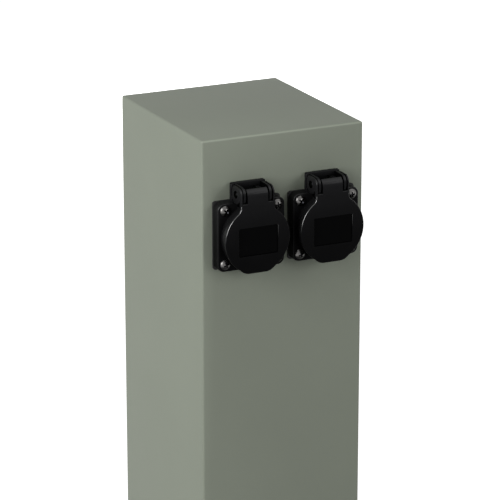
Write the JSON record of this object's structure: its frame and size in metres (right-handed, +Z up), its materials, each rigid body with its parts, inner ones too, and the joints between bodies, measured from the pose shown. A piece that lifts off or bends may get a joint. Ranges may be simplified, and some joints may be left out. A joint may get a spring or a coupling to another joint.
{
  "type": "garden socket post",
  "caption": "Square sheet-metal garden post carrying weatherproof panel sockets side by side, each under a sprung round lid that hinges at the top.",
  "frame": {"origin": "middle of the foot on the ground, at the centre of the anchor holes", "axes": "+Z up the post, -Y out of the face with the sockets, +X to the right seen from the front"},
  "size_m": [0.1272, 0.1566, 0.4],
  "materials": {
    "sage_coat": "fine textured powder coat, sage grey",
    "black_moulding": "satin black moulded plastic",
    "black_rubber": "matt",
    "bright_steel": "bright stainless steel",
    "zinc_steel": "galvanised sheet",
    "brass": "plain drawn brass",
    "pale_nylon": "natural moulded nylon",
    "brown_sheath": "wire insulation",
    "blue_sheath": "wire insulation",
    "green_sheath": "wire insulation, green with a yellow stripe"
  },
  "bodies": {
    "post": {"column": "sage_coat", "top_plate": "sage_coat", "base_plate": "zinc_steel", "side_upstands": "zinc_steel", "terminal_upstand": "zinc_steel", "base_screws": "bright_steel", "base_nuts": "bright_steel", "cable_grommet": "black_rubber", "earth_stud": "bright_steel", "earth_nut": "bright_steel", "earth_lug": "brass", "terminal_block": "pale_nylon", "terminal_bars": "brass", "terminal_screws": "bright_steel", "block_screws": "bright_steel", "live_wires": "brown_sheath", "neutral_wires": "blue_sheath", "earth_wires": "green_sheath", "flange_gasket_left": "black_rubber", "socket_body_left": "black_moulding", "socket_insert_left": "black_moulding", "contact_carrier_left": "pale_nylon", "line_contacts_left": "brass", "earth_clip_left": "brass", "clamp_screws_left": "bright_steel", "insert_screw_left": "bright_steel", "flange_screws_left": "bright_steel", "flange_washers_left": "bright_steel", "flange_nuts_left": "bright_steel", "hinge_pin_left": "bright_steel", "hinge_spring_left": "bright_steel", "flange_gasket_right": "black_rubber", "socket_body_right": "black_moulding", "socket_insert_right": "black_moulding", "contact_carrier_right": "pale_nylon", "line_contacts_right": "brass", "earth_clip_right": "brass", "clamp_screws_right": "bright_steel", "insert_screw_right": "bright_steel", "flange_screws_right": "bright_steel", "flange_washers_right": "bright_steel", "flange_nuts_right": "bright_steel", "hinge_pin_right": "bright_steel", "hinge_spring_right": "bright_steel"},
    "left_lid": {"lid_left": "black_moulding", "lid_seal_left": "black_rubber"},
    "right_lid": {"lid_right": "black_moulding", "lid_seal_right": "black_rubber"}
  },
  "joints": [
    {"name": "left_lid_hinge", "type": "hinge", "parent": "post", "child": "left_lid", "pos_m": [-0.02825, -0.0789, 0.3632], "axis": [-1, 0, 0], "range_deg": [0, 90], "stiffness_Nm_per_rad": 0.02, "springref_deg": -34.38, "deforming": ["hinge_spring_left"]},
    {"name": "right_lid_hinge", "type": "hinge", "parent": "post", "child": "right_lid", "pos_m": [0.02825, -0.0789, 0.3632], "axis": [-1, 0, 0], "range_deg": [0, 90], "stiffness_Nm_per_rad": 0.02, "springref_deg": -34.38, "deforming": ["hinge_spring_right"]}
  ]
}
